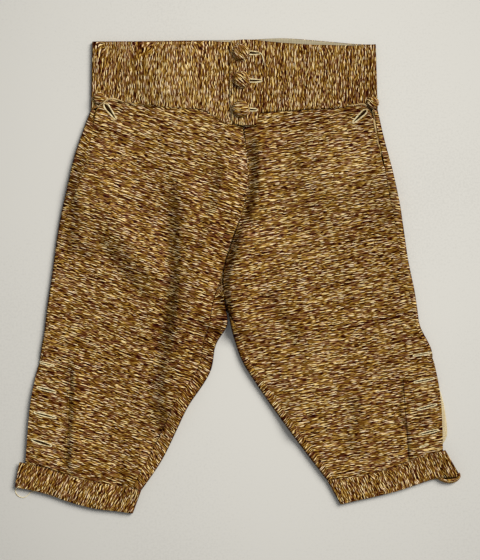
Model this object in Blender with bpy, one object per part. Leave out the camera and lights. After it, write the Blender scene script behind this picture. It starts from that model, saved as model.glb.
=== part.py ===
"""Knee breeches laid flat on their back, waist towards +Y, front facing +Z.

Every cloth panel is a wall of real thickness. The backs lie on the surface, wrap round the outer
edges and, below the fork, round the inner edges, and meet the fronts at the seams. The waistband
and the knee bands fold over in the same way. Right and left are the wearer's, so right is -X.
Lengths are millimetres until a mesh is made.
"""

from collections import namedtuple
import math

import bmesh
import bpy
import numpy as np
from mathutils import Matrix, Vector

for item in list(bpy.data.objects):
    bpy.data.objects.remove(item, do_unlink=True)

MM = 0.001

# Cloth
WALL = 1.8            # silk and its linen lining, taken as one wall
BAND_WALL = 2.2       # waistband and knee bands, which also hold an interlining
LINEN_WALL = 1.0      # a linen lining or facing by itself
LAYER_GAP = 0.4       # between layers that lie on each other
SEAM_GAP = 0.5        # between pieces at a seam
CREVICE_GAP = 1.2     # between the two sides, where they curl down beside each other

# Heights above the surface that the breeches lie on, each to the top of the cloth
EDGE_HEIGHT = 8.0     # where the cloth folds round the side
SEAM_DROP = 0.9       # how much lower it is at a seam well inside that fold
FORK_HEIGHT = 6.6     # the fold beside the fork
FRONT_LIES = 5.9      # a front where it lies on the back
LOWEST_FRONT = WALL + LAYER_GAP + WALL
WAISTBAND_TOP = 7.2
UNDERLAP_TOP = 6.3    # the right half of the waistband where the left half laps it
OVERLAP_TOP = UNDERLAP_TOP + LAYER_GAP + BAND_WALL
CORNER_LIFT = 4.2     # the loose pocket corners over the waistband
CORNER_INWARD = 24.0  # how far inside the waistband's reach a corner starts to lift
CORNER_BELOW = 14.0   # how far below the waistband it starts to
CORNER_RISE = 9.0     # and over what depth it rises
LOOSE_RISE = 0.8      # the loose edge of a knee opening over what is under it
KNEE_BAND_TOP = 6.8
LINING_DEPTH = 34.0   # how far down the back waistband its lining is made
LINING_INSET = 0.8    # how far below the waistband's edge it ends
LINING_ENDS = (-208.0, 195.0)

# Covered buttons, by diameter
FRONT_BUTTON = 22.0
POCKET_BUTTON = 16.0
BUTTON_DOME = 4.8

# Steps in the meshes
SEAT_ROWS = 13
LEG_ROWS = 15
FORK_ROWS = 4         # rows below the fork over which its fold rises to the edge height
BAND_ROWS = 3
ARC_STEPS = 4
FLOOR_STEPS = 7
MIDDLE_STEPS = 9
LINING_STEPS = 24
LEAST_STEP = 3.0      # between two columns of a band
FRONT_CENTRE_STEPS = {"right": (59, 44, 30, 18, 10, 4, 0), "left": (42, 23, 18, 10, 4, 0)}

# The body from the waist seam down to the fork. Centre is where the fronts meet, centre_back is
# where the backs meet, a side point is the outer fold, and a wrap is the width of back panel
# that comes round beside the front's seam.
Seat = namedtuple(
    "Seat",
    "centre_x centre_y centre_back_x right_x right_y left_x left_y"
    " right_wrap left_wrap right_fork_wrap left_fork_wrap",
)
SEAT = [
    Seat(7, 219.5, -4, -217, 243, 204.8, 243, 8, 6, 0, 0),
    Seat(9, 197, -5, -228, 214, 211.4, 212, 14, 8, 0, 0),
    Seat(15, 162, -7, -241.7, 174, 221.7, 173, 21, 10, 0, 0),
    Seat(11, 111, -10, -251.7, 129, 232, 129, 17, 13, 0, 0),
    Seat(-9, 52, -15, -262, 84, 241.5, 79, 8, 12, 0, 0),
    Seat(-24, -5, -22, -270, 32, 249, 25, 6, 11, 0, 0),
    Seat(-19.5, -43, -19.5, -273.3, 6, 255, -4, 6, 10, 19, 0),
    Seat(-12.6, -72, -12.6, -276.7, -15.4, 259.2, -22.8, 6, 9, 28, 8),
]

# A leg from the fork to its hem. Slit is 0 where the outer seam is closed and 1 where the knee
# opening lets the front lie loose over the back.
Leg = namedtuple("Leg", "outer_x outer_y inner_x inner_y outer_wrap inner_wrap slit")
RIGHT_LEG = [
    Leg(-276.7, -15.4, -12.6, -72, 6, 28, 0),
    Leg(-281.8, -50.7, -34.4, -103.6, 6, 18, 0),
    Leg(-285.5, -84.5, -37, -134.5, 6, 19, 0),
    Leg(-291, -112, -52, -162, 6, 21, 0),
    Leg(-295, -134, -68.5, -184, 6, 21, 1),
    Leg(-304.6, -180, -88.5, -224, 6, 20, 1),
    Leg(-309.1, -224, -110.5, -269.7, 6, 21, 1),
    Leg(-312.7, -274.9, -141.4, -314.6, 6, 15, 1),
]
LEFT_LEG = [
    Leg(259.2, -22.8, -12.6, -72, 9, 8, 0),
    Leg(263.6, -53.7, -5.4, -99.2, 7, 10, 0),
    Leg(266.8, -76, 5, -127.5, 6, 11, 0),
    Leg(276.1, -91.9, 18.8, -149.2, 6, 11, 0),
    Leg(284.4, -108, 30.6, -166.8, 6, 12, 0),
    Leg(288.6, -132, 48, -192, 6, 12, 1),
    Leg(294.4, -159.5, 70.3, -222.7, 6, 12, 1),
    Leg(298.4, -197.3, 95.3, -256.5, 6, 12, 1),
    Leg(300.3, -255.8, 129, -300, 6, 11, 1),
]

WAIST_CURVE = 0.22    # share of a side's rows over which the waist seam's curve fades out
HEM_CURVE = 0.12      # and the hem seam's

# How far the hem seam lies above a straight line across the leg, by share of the way inwards.
Bow = namedtuple("Bow", "share rise")
HEM = {
    "right": [Bow(0, 0), Bow(0.14, 3.5), Bow(0.28, 0.5), Bow(0.44, -4.2), Bow(0.7, -2.8), Bow(1, 0)],
    "left": [
        Bow(0, 0), Bow(0.2, 0.4), Bow(0.29, -3.4), Bow(0.43, -6.8), Bow(0.57, -7.1), Bow(0.78, -6.1),
        Bow(1, 0),
    ],
}

# Edges that run across the body.
Edge = namedtuple("Edge", "x y")
FRONT_TOP = {
    "right": [
        Edge(-209, 242), Edge(-205.5, 246.5), Edge(-197.5, 251.5), Edge(-192, 256), Edge(-185, 258.5),
        Edge(-173.8, 256.5), Edge(-148.8, 251.4), Edge(-128, 249.2), Edge(-104.7, 246.8),
        Edge(-82.6, 245.3), Edge(-52, 244), Edge(-37, 233), Edge(-23.8, 222.7), Edge(7, 219.3),
    ],
    "left": [
        Edge(7, 219.3), Edge(26.5, 220), Edge(31, 238), Edge(62.9, 240.3), Edge(85, 241.8),
        Edge(115.8, 243.3), Edge(140.8, 244.3), Edge(164.3, 247.7), Edge(174.6, 250.4),
        Edge(183.5, 250.4), Edge(189.5, 245.5), Edge(194.5, 238), Edge(198.5, 229),
    ],
}
WAIST_TOP = {
    "right": [
        Edge(-215, 343), Edge(-144, 343.4), Edge(-37, 343.5), Edge(-13.5, 342), Edge(26, 340),
    ],
    "left": [
        Edge(-13.5, 342.4), Edge(1.9, 345.7), Edge(21, 345.7), Edge(37, 343.4), Edge(68.8, 340.9),
        Edge(100.8, 338.5), Edge(132.7, 337.8), Edge(164.3, 336.9), Edge(190, 337.8),
        Edge(202, 339.4),
    ],
}
BACK_SEAM = [Edge(-217, 243), Edge(-110, 248), Edge(-4, 250), Edge(100, 248), Edge(205, 243)]
BACK_TOP = [
    Edge(-215, 343), Edge(-158, 344), Edge(-37, 345.6), Edge(24, 346), Edge(50, 349),
    Edge(69, 349), Edge(101, 346), Edge(149, 342), Edge(181, 338.6), Edge(202, 339.4),
]

# A waistband half: where its side fold starts and ends, its end at the front, the x inside which
# the pocket corner starts to lap it, and its end at the centre back.
Half = namedtuple("Half", "side_foot side_head front_end pocket_reach back_end")
WAIST_HALF = {
    "right": Half(-217, -215, 26, -168, -4.3),
    "left": Half(204.8, 202, -13.5, 172, -3.7),
}
LAP_CORNER = 230.0    # lower end of the lapping edge
LAP_SLOPE = 34.0      # over what length the lap comes back to the waistband's height

# A knee band's lower edge, by share of the hem; a share under 0 is the tab past the leg's edge.
Band = namedtuple("Band", "share x y")
KNEE_BAND = {
    "right": [
        Band(-0.05, -328.4, -310.9), Band(0.14, -307.4, -314.3), Band(0.28, -279.2, -320.6),
        Band(0.44, -258.1, -329), Band(0.6, -237, -336), Band(0.73, -208.9, -343.1),
        Band(0.9, -180.7, -345.6), Band(1, -153.9, -349.4),
    ],
    "left": [
        Band(-0.015, 324.6, -293.3), Band(0.05, 308, -296), Band(0.2, 290.2, -296.5),
        Band(0.3, 263, -306.3), Band(0.45, 234.3, -315.9), Band(0.59, 202.6, -324),
        Band(0.8, 177, -329.6), Band(1, 149.6, -335.9),
    ],
}
TAB_CURL = {"right": 0.0, "left": 4.0}    # how far the tab's end stands off what is under it
TAB_UNDER = {"right": 0.0, "left": 8.0}   # how far the under layer's corner shows below the tab
UNDER_CURL = 3.0      # how far that corner curls up
TAB_LENGTH = 28.0     # how much of the band's end curls

# The pale facing of the left knee opening, where it shows past the front.
FACING_WIDTH = 24.0
LEFT_FACING = [
    Edge(286, -142), Edge(293, -160), Edge(298.3, -176), Edge(302.5, -192), Edge(306.6, -224),
    Edge(306.6, -236), Edge(301, -246), Edge(297, -251),
]
PLACKET = {"right": 62.0, "left": 54.0}   # width of the faced strip with the knee buttonholes
PLACKET_STEP = 1.1    # how much higher that strip is
PLACKET_EDGE = 5.0    # over what width it steps down

# A covered button's profile, as shares of its radius and its height.
Ring = namedtuple("Ring", "radius height")
MOULD = [
    Ring(0, 1), Ring(0.35, 0.97), Ring(0.65, 0.83), Ring(0.88, 0.57), Ring(1, 0.28),
    Ring(0.95, 0.06), Ring(0.8, 0), Ring(0, 0),
]
Button = namedtuple("Button", "name x y diameter base")
BUTTONS = [
    Button("front_button_1", 3.5, 326.6, FRONT_BUTTON, OVERLAP_TOP),
    Button("front_button_2", 4.3, 286.8, FRONT_BUTTON, OVERLAP_TOP),
    Button("front_button_3", 3.5, 243.7, FRONT_BUTTON, OVERLAP_TOP),
    Button("right_pocket_button", -203.9, 259.5, POCKET_BUTTON, WAISTBAND_TOP),
    Button("left_pocket_button", 196.6, 253, POCKET_BUTTON, WAISTBAND_TOP),
]

# Folds in the fronts: a crease where height is negative, a ridge where it is positive, along a
# line through three points, fading over width to each side.
Fold = namedtuple("Fold", "start_x start_y middle_x middle_y end_x end_y width height")
FOLDS = {
    "right": [
        Fold(-16, 165, -45, 70, -78, -60, 24, 3.6),        # long roll beside the crevice
        Fold(-93, 103, -95, -10, -108, -120, 11, -2.6),    # crease from the hip to the knee
        Fold(-108, -120, -111, -180, -118, -240, 13, -1.8),
        Fold(-199, 70, -165, 12, -108, -29, 15, -1.7),     # drag from the hip to that crease
        Fold(-180, 120, -150, 60, -120, 30, 24, 1.4),
        Fold(-24, 170, -34, 125, -52, 82, 9, -1.8),
        Fold(-250, -160, -252, -220, -254, -275, 10, -1.0),
    ],
    "left": [
        Fold(30, 165, 18, 90, 0, 20, 18, 1.6),
        Fold(208, 126, 186, 89, 164, 67, 13, -1.5),
        Fold(150, 200, 185, 165, 200, 140, 24, 1.6),
        Fold(98, -14, 84, -30, 69, -51, 15, -1.4),
        Fold(60, 40, 90, -60, 130, -160, 40, 1.5),
        Fold(148, -190, 157, -212, 160, -235, 16, -1.5),
    ],
}
CENTRE_SWELL = 1.5    # how far a front swells before it curls down to the centre
CURL_REACH = 9.0      # how far from the centre that curl starts
SEAM_REACH = 22.0     # how far in from a seam or a loose edge the cloth settles
NARROW_WRAP = 6.0
FLAT_WRAP = 2.0       # below this the inner edge of a back is flat, above it starts to fold
LEAST_STRIP = 1.2     # between points at a back's edge


# ---- Reading the tables --------------------------------------------------------------------


def ease(share):
    """0 to 1 with flat ends."""
    share = min(max(share, 0.0), 1.0)
    return share * share * (3 - 2 * share)


def read(table, column, at, by):
    """A column of a table at a value of the column `by`, straight between the rows."""
    rows = sorted(table, key=lambda row: getattr(row, by))
    return float(np.interp(at, [getattr(r, by) for r in rows], [getattr(r, column) for r in rows]))


def resample(table, count):
    """The table read as smooth curves, at count + 1 stations spaced evenly along it."""
    rows = np.array(table, float)
    steps = np.linalg.norm(np.diff(rows[:, :4], axis=0), axis=1)
    at = np.concatenate([[0], np.cumsum(steps)])
    slope = np.gradient(rows, at, axis=0)
    made = []
    for where in np.linspace(0, at[-1], count + 1):
        i = min(int(np.searchsorted(at, where, side="right")) - 1, len(at) - 2)
        span = at[i + 1] - at[i]
        t = (where - at[i]) / span
        values = (
            rows[i] * (1 + 2 * t) * (1 - t) ** 2
            + slope[i] * span * t * (1 - t) ** 2
            + rows[i + 1] * t * t * (3 - 2 * t)
            + slope[i + 1] * span * t * t * (t - 1)
        )
        made.append(type(table[0])(*values))
    return made


def folds_at(side, x, y):
    """What the folds add to a front's height at a point."""
    total = 0.0
    here = np.array([x, y])
    for fold in FOLDS[side]:
        line = np.array([fold[0:2], fold[2:4], fold[4:6]])
        nearest = math.inf
        for a, b in zip(line[:-1], line[1:]):
            share = np.clip(np.dot(here - a, b - a) / np.dot(b - a, b - a), 0, 1)
            nearest = min(nearest, float(np.linalg.norm(here - a - share * (b - a))))
        total += fold.height * math.exp(-((nearest / fold.width) ** 2))
    return total


# ---- Making the meshes ---------------------------------------------------------------------


def material(name, colour, roughness):
    made = bpy.data.materials.new(name)
    made.use_nodes = True
    shader = made.node_tree.nodes["Principled BSDF"]
    shader.inputs["Base Color"].default_value = colour
    shader.inputs["Roughness"].default_value = roughness
    shader.inputs["Metallic"].default_value = 0.0
    return made


SILK = material("patterned_silk", (0.24, 0.13, 0.045, 1.0), 0.6)
LINEN = material("olive_linen", (0.34, 0.29, 0.19, 1.0), 0.85)
PALE_LINEN = material("pale_linen", (0.62, 0.53, 0.36, 1.0), 0.85)


def add_object(name, mesh, finish):
    bmesh.ops.recalc_face_normals(mesh, faces=mesh.faces)
    data = bpy.data.meshes.new(name)
    mesh.to_mesh(data)
    mesh.free()
    data.shade_smooth()
    data.set_sharp_from_angle(angle=math.radians(40))
    data.materials.append(finish)
    made = bpy.data.objects.new(name, data)
    bpy.context.scene.collection.objects.link(made)
    return made


def grid_mesh(rows):
    """Quads through rows of points, each row of the same length."""
    mesh = bmesh.new()
    made = [[mesh.verts.new(Vector(point) * MM) for point in row] for row in rows]
    for near, far in zip(made[:-1], made[1:]):
        for i in range(len(near) - 1):
            mesh.faces.new((near[i], near[i + 1], far[i + 1], far[i]))
    return mesh


def level_sheet(name, rows, wall, finish):
    """A cloth that lies nearly level: its top surface through the rows, extruded down."""
    mesh = grid_mesh(rows)
    grown = bmesh.ops.extrude_face_region(mesh, geom=mesh.faces[:])
    under = [item for item in grown["geom"] if isinstance(item, bmesh.types.BMVert)]
    bmesh.ops.translate(mesh, verts=under, vec=(0, 0, -wall * MM))
    return add_object(name, mesh, finish)


def folded_sheet(name, rows, wall, finish):
    """A cloth that folds over: its middle surface through the rows, thickened to both sides."""
    made = add_object(name, grid_mesh(rows), finish)
    solid = made.modifiers.new("Wall", "SOLIDIFY")
    solid.thickness = wall * MM
    solid.offset = 0
    return made


def fold_arc(top, wall):
    """Middle line of a fold from its top layer round to the surface: inward distance, height."""
    low, high = wall / 2, top - wall / 2
    radius = (high - low) / 2
    turns = [math.pi * i / ARC_STEPS for i in range(ARC_STEPS + 1)]
    return [
        (low + radius - radius * math.sin(turn), low + radius + radius * math.cos(turn))
        for turn in turns
    ]


# ---- Body and legs -------------------------------------------------------------------------


def stations(side):
    """Every station of one side, from the waist seam to the hem."""
    right = side == "right"
    outward = -1 if right else 1
    away = outward * CREVICE_GAP / 2
    back_away = outward * SEAM_GAP / 2
    made = []
    for row in resample(SEAT, SEAT_ROWS):
        made.append({
            "outer": np.array([row.right_x, row.right_y] if right else [row.left_x, row.left_y]),
            "inner": np.array([row.centre_x + away, row.centre_y]),
            "back_inner": np.array([row.centre_back_x + back_away, row.centre_y]),
            "outer_wrap": row.right_wrap if right else row.left_wrap,
            "inner_wrap": max(0, row.right_fork_wrap if right else row.left_fork_wrap),
            "slit": 0.0,
            "inner_top": FORK_HEIGHT,
        })
    leg = resample(RIGHT_LEG if right else LEFT_LEG, LEG_ROWS)
    for i, row in enumerate(leg[1:], 1):
        made.append({
            "outer": np.array([row.outer_x, row.outer_y]),
            "inner": np.array([row.inner_x + away, row.inner_y]),
            "back_inner": np.array([row.inner_x + back_away, row.inner_y]),
            "outer_wrap": row.outer_wrap,
            "inner_wrap": row.inner_wrap,
            "slit": ease(row.slit),
            "inner_top": FORK_HEIGHT + (EDGE_HEIGHT - FORK_HEIGHT) * ease(i / FORK_ROWS),
        })
    last = len(made) - 1
    for i, station in enumerate(made):
        station["waist_share"] = 1 - ease(i / (WAIST_CURVE * last))
        station["hem_share"] = 1 - ease((last - i) / (HEM_CURVE * last))
    return made


STATIONS = {side: stations(side) for side in ("right", "left")}


def across(station, inner, distance):
    """The point this far inwards on a station's line."""
    outer = station["outer"]
    return outer + (station[inner] - outer) * distance / np.linalg.norm(station[inner] - outer)


def waist_rise(side, station, inner, table, distance):
    """How far a curved waist seam moves a point, from its distance on the first station."""
    x, y = across(STATIONS[side][0], inner, distance)
    return (read(table, "y", x, "x") - y) * station["waist_share"]


def hem_rise(side, station, share):
    return read(HEM[side], "rise", share, "share") * station["hem_share"]


def pocket_line(side, x):
    """The waistband's lower edge behind the loose pocket corner."""
    half = WAIST_HALF[side]
    reach = read(FRONT_TOP[side], "y", half.pocket_reach, "x")
    share = (x - half.side_foot) / (half.pocket_reach - half.side_foot)
    return STATIONS[side][0]["outer"][1] + (reach - STATIONS[side][0]["outer"][1]) * share + SEAM_GAP


def seam_drop(wrap):
    """A narrow wrap leaves the seam on the fold itself, a wide one lets it sink."""
    return SEAM_DROP * ease((wrap - NARROW_WRAP) / 10)


def front_distances(side, station):
    """Where a front's columns of points lie on a station, inwards from the outline."""
    length = float(np.linalg.norm(station["inner"] - station["outer"]))
    start = station["outer_wrap"] * (1 - station["slit"] ** 3) + SEAM_GAP
    stop = length - station["inner_wrap"] - SEAM_GAP
    placket = PLACKET[side]
    near = [start + d for d in (0, 4, 10, 18, 26, 38, placket - PLACKET_EDGE, placket)]
    far = [stop - d for d in FRONT_CENTRE_STEPS[side]]
    middle = np.linspace(near[-1], far[0], MIDDLE_STEPS + 1)[1:-1]
    return near + list(middle) + far


def front_height(side, station, x, y, from_outer, from_inner):
    """Top of a front at a point: level cloth, raised to its seams, or curled down at the centre."""
    height = FRONT_LIES + folds_at(side, x, y)
    outer_rise = EDGE_HEIGHT - seam_drop(station["outer_wrap"]) - FRONT_LIES
    height += outer_rise * math.exp(-from_outer / SEAM_REACH) * (1 - station["slit"])

    inner_rise = station["inner_top"] - seam_drop(station["inner_wrap"]) - FRONT_LIES
    seamed = height + inner_rise * math.exp(-from_inner / SEAM_REACH)
    curled = height + CENTRE_SWELL * math.exp(-((from_inner / SEAM_REACH - 1) ** 2))
    curled -= (curled - LOWEST_FRONT) * math.exp(-((from_inner / CURL_REACH) ** 2))
    height = curled + (seamed - curled) * ease((station["inner_wrap"] - FLAT_WRAP) / 8)

    if station["slit"] > 0:
        under = LINEN_WALL + LAYER_GAP if side == "left" else 0.0
        loose = LOWEST_FRONT + under + LOOSE_RISE
        padded = height + PLACKET_STEP * (1 - ease((from_outer - PLACKET[side]) / PLACKET_EDGE + 1))
        height += (loose + (padded - loose) * ease(from_outer / SEAM_REACH) - height) * station["slit"]
    return max(height, LOWEST_FRONT)


def corner_lift(side, x, y):
    """How far the loose pocket corner stands over the waistband, full where it laps it."""
    reach = WAIST_HALF[side].pocket_reach
    inward = x - reach if side == "right" else reach - x
    below = pocket_line(side, x) - y
    sideways = ease((CORNER_INWARD - inward) / CORNER_BELOW)
    return CORNER_LIFT * sideways * ease((CORNER_BELOW - below) / CORNER_RISE)


def front_rows(side):
    first = front_distances(side, STATIONS[side][0])
    rows = []
    for station in STATIONS[side]:
        length = float(np.linalg.norm(station["inner"] - station["outer"]))
        distances = front_distances(side, station)
        row = []
        for d, d_first in zip(distances, first):
            x, y = across(station, "inner", d)
            y += waist_rise(side, station, "inner", FRONT_TOP[side], d_first)
            y += hem_rise(side, station, d / length)
            z = front_height(side, station, x, y, d - distances[0], distances[-1] - d)
            if station["waist_share"] > 0:
                z += corner_lift(side, x, y)
            row.append((x, y, z))
        rows.append(row)
    return rows


def half_section(wrap, top, opened):
    """A back panel from its seam on the front, over the fold, to the surface.

    Points are an inward distance and a middle height. Opened by 1, they lie flat as a loose edge.
    """
    arc = fold_arc(top, WALL)
    fold_end, high = arc[0]
    seam = max(wrap, fold_end + LEAST_STRIP)
    drop = seam_drop(wrap)
    folded = [(seam, high - drop), ((seam + fold_end) / 2, high - drop * 0.4)] + arc
    flat = [(LEAST_STRIP * i, WALL / 2) for i in range(len(folded))]
    return [
        (f[0] + (o[0] - f[0]) * opened, f[1] + (o[1] - f[1]) * opened) for f, o in zip(folded, flat)
    ]


def back_section(station):
    """A back's section across the body: inward distance, middle height, if it follows the waist."""
    length = float(np.linalg.norm(station["back_inner"] - station["outer"]))
    outer = half_section(station["outer_wrap"], EDGE_HEIGHT, station["slit"])
    inner = half_section(
        station["inner_wrap"],
        station["inner_top"],
        1 - ease((station["inner_wrap"] - FLAT_WRAP) / 4),
    )
    floor = np.linspace(outer[-1][0], length - inner[-1][0], FLOOR_STEPS + 1)[1:-1]
    section = [(d, z, False) for d, z in outer]
    section += [(d, WALL / 2, True) for d in floor]
    section += [(length - d, z, True) for d, z in reversed(inner)]
    return section


def back_rows(side):
    first = STATIONS[side][0]
    first_length = float(np.linalg.norm(first["back_inner"] - first["outer"]))
    rows = []
    for station in STATIONS[side]:
        length = float(np.linalg.norm(station["back_inner"] - station["outer"]))
        row = []
        for d, z, level in back_section(station):
            x, y = across(station, "back_inner", d)
            if level:
                y += waist_rise(side, station, "back_inner", BACK_SEAM, d * first_length / length)
            y += hem_rise(side, station, d / length)
            row.append((x, y, z))
        rows.append(row)
    return rows


# ---- Waistband -----------------------------------------------------------------------------


def waist_rows(side):
    """A waistband half, from its front end round the side fold to the centre back."""
    right = side == "right"
    half = WAIST_HALF[side]
    inward = 1 if right else -1
    fronts = {s: front_rows(s)[0] for s in ("right", "left")}
    flat_end = fold_arc(WAISTBAND_TOP, BAND_WALL)[0][0] + LEAST_STEP
    columns = []

    def add(x_foot, y_foot, z, layer_top, past_side=None):
        head = half.side_head + past_side * inward if past_side is not None else x_foot
        columns.append((x_foot, y_foot, head, read(layer_top, "y", head, "x"), z))

    other = fronts["left" if right else "right"]
    beyond = [p for p in other if inward * (half.front_end - p[0]) > LEAST_STEP]
    own = [p for p in fronts[side] if inward * (p[0] - half.side_foot) > flat_end]
    back = [
        p for p in back_rows(side)[0] if p[2] < WALL and inward * (p[0] - half.side_foot) > flat_end
    ]
    across_front = sorted(beyond + own, key=lambda p: -inward * p[0])
    end_y = read(FRONT_TOP["left"], "y", half.front_end, "x") + SEAM_GAP if right else LAP_CORNER
    add(half.front_end, end_y, front_band_height(side, half.front_end), WAIST_TOP[side])
    for x, y, _ in across_front:
        foot = y + SEAM_GAP
        if inward * (half.pocket_reach - x) > 0:
            foot = pocket_line(side, x)
        add(x, foot, front_band_height(side, x), WAIST_TOP[side])
    for d, z in fold_arc(WAISTBAND_TOP, BAND_WALL):
        layer = WAIST_TOP[side] if z > WAISTBAND_TOP / 2 else BACK_TOP
        add(half.side_foot + d * inward, STATIONS[side][0]["outer"][1] + SEAM_GAP, z, layer, d)
    for x, y, _ in sorted(back, key=lambda p: inward * p[0]):
        add(x, y + SEAM_GAP, BAND_WALL / 2, BACK_TOP)

    rows = []
    for i in range(BAND_ROWS + 1):
        share = i / BAND_ROWS
        rows.append([
            (fx + (hx - fx) * share, fy + (hy - fy) * share, z) for fx, fy, hx, hy, z in columns
        ])
    return rows


def front_band_height(side, x):
    """Middle height of the waistband's front layer, where one half laps the other."""
    if side == "right":
        lap_start = WAIST_HALF["left"].front_end
        lapped = ease((x - lap_start + LAP_SLOPE) / LAP_SLOPE)
        top = WAISTBAND_TOP + (UNDERLAP_TOP - WAISTBAND_TOP) * lapped
    else:
        lap_end = WAIST_HALF["right"].front_end
        lapping = ease((lap_end + LAP_SLOPE - x) / LAP_SLOPE)
        top = WAISTBAND_TOP + (OVERLAP_TOP - WAISTBAND_TOP) * lapping
    return top - BAND_WALL / 2


def lining_rows():
    """The linen inside the back of the waistband, which shows above the front's top edge."""
    top = BAND_WALL + LAYER_GAP + LINEN_WALL
    rows = []
    for depth in (LINING_DEPTH, LINING_DEPTH / 2, LINING_INSET):
        rows.append([
            (x, read(BACK_TOP, "y", x, "x") - depth, top)
            for x in np.linspace(LINING_ENDS[0], LINING_ENDS[1], LINING_STEPS + 1)
        ])
    return rows


# ---- Knee bands ----------------------------------------------------------------------------


def hem_point(side, share):
    """A point of the hem seam, extended straight past the leg's edge."""
    last = STATIONS[side][-1]
    point = last["outer"] + (last["inner"] - last["outer"]) * share
    return point + np.array([0, read(HEM[side], "rise", share, "share")])


def knee_band_rows(side):
    last = STATIONS[side][-1]
    length = float(np.linalg.norm(last["inner"] - last["outer"]))
    table = KNEE_BAND[side]
    tab = table[0].share
    arc = fold_arc(KNEE_BAND_TOP, BAND_WALL)
    high = arc[0][1]
    flat_end = length - arc[0][0] - LEAST_STEP
    front = [d / length for d in front_distances(side, last) if d < flat_end]
    back = [d / length for d, z, _ in back_section(last) if z < WALL and d < flat_end]
    columns = [
        (share, high + TAB_CURL[side] * (1 - ease((share - tab) * length / TAB_LENGTH)))
        for share in [tab, tab / 2] + front
    ]
    columns += [(1 - d / length, z) for d, z in arc]
    columns += [(share, BAND_WALL / 2) for share in reversed(back)]
    rows = []
    for i in range(BAND_ROWS):
        down = i / (BAND_ROWS - 1)
        row = []
        for share, z in columns:
            head = hem_point(side, share) - np.array([0, SEAM_GAP])
            foot = np.array([read(table, c, share, "share") for c in ("x", "y")])
            if z < BAND_WALL and TAB_UNDER[side]:
                corner = 1 - ease(share * length / TAB_LENGTH)
                foot[1] -= TAB_UNDER[side] * corner
                z += UNDER_CURL * down * corner
            x, y = head + (foot - head) * down
            row.append((x, y, z))
        rows.append(row)
    return rows


def facing_rows():
    top = WALL + LAYER_GAP + LINEN_WALL
    return [
        [(edge.x - FACING_WIDTH + FACING_WIDTH * share, edge.y, top) for share in (0, 0.5, 1)]
        for edge in LEFT_FACING
    ]


# ---- Buttons -------------------------------------------------------------------------------


def covered_button(button):
    """A wooden mould covered with the silk, drawn in under it."""
    radius = button.diameter / 2 * MM
    dome = BUTTON_DOME * MM
    mesh = bmesh.new()
    points = [mesh.verts.new((ring.radius * radius, 0, ring.height * dome)) for ring in MOULD]
    edges = [mesh.edges.new(pair) for pair in zip(points[:-1], points[1:])]
    bmesh.ops.spin(
        mesh, geom=points + edges, cent=(0, 0, 0), axis=(0, 0, 1), angle=math.tau, steps=20,
        use_merge=True,
    )
    bmesh.ops.remove_doubles(mesh, verts=mesh.verts, dist=0.01 * MM)
    place = Vector((button.x, button.y, button.base + LAYER_GAP)) * MM
    bmesh.ops.transform(mesh, matrix=Matrix.Translation(place), verts=mesh.verts)
    return add_object(button.name, mesh, SILK)


# ---- The breeches --------------------------------------------------------------------------

for side in ("right", "left"):
    level_sheet(side + "_front", front_rows(side), WALL, SILK)
    folded_sheet(side + "_back", back_rows(side), WALL, SILK)
    folded_sheet(side + "_waistband", waist_rows(side), BAND_WALL, SILK)
    folded_sheet(side + "_knee_band", knee_band_rows(side), BAND_WALL, SILK)
level_sheet("back_waistband_lining", lining_rows(), LINEN_WALL, LINEN)
level_sheet("left_knee_facing", facing_rows(), LINEN_WALL, PALE_LINEN)
for button in BUTTONS:
    covered_button(button)
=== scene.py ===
"""Knee breeches of streaked silk, laid flat on a pale board, front up."""

from collections import namedtuple
import math
import random

import bmesh
import bpy
import numpy as np
from mathutils import Matrix, Vector, noise
from mathutils.bvhtree import BVHTree


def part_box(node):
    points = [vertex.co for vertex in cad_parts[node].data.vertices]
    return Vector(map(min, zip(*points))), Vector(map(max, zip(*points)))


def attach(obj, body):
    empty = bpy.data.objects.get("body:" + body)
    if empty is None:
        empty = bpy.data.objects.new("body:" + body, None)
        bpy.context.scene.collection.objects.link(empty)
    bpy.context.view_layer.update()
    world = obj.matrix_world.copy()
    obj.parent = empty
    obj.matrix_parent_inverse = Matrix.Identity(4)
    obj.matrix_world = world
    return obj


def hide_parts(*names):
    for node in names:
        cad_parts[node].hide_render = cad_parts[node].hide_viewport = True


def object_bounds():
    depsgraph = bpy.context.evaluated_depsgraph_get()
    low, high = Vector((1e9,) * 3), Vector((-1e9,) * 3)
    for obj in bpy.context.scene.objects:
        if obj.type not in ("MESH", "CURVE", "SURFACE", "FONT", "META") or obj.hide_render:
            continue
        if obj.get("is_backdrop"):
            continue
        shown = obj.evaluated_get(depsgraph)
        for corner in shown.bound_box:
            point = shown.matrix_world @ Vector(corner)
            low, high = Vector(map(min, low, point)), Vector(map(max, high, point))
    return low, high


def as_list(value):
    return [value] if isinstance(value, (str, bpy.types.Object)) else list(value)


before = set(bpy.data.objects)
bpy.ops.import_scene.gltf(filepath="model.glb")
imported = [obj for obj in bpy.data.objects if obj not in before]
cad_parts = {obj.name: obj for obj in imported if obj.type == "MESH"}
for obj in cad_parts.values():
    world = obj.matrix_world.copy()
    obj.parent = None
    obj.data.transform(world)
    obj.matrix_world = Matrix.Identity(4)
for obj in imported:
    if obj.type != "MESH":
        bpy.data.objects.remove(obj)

cad_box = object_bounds()

# ---- The board, the camera and the light ---------------------------------------------------
# A pale, fine-grained paper board that the breeches lie on. One wide soft window light comes
# from the upper right and low, so that folds show, and the room fills the rest.

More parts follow.
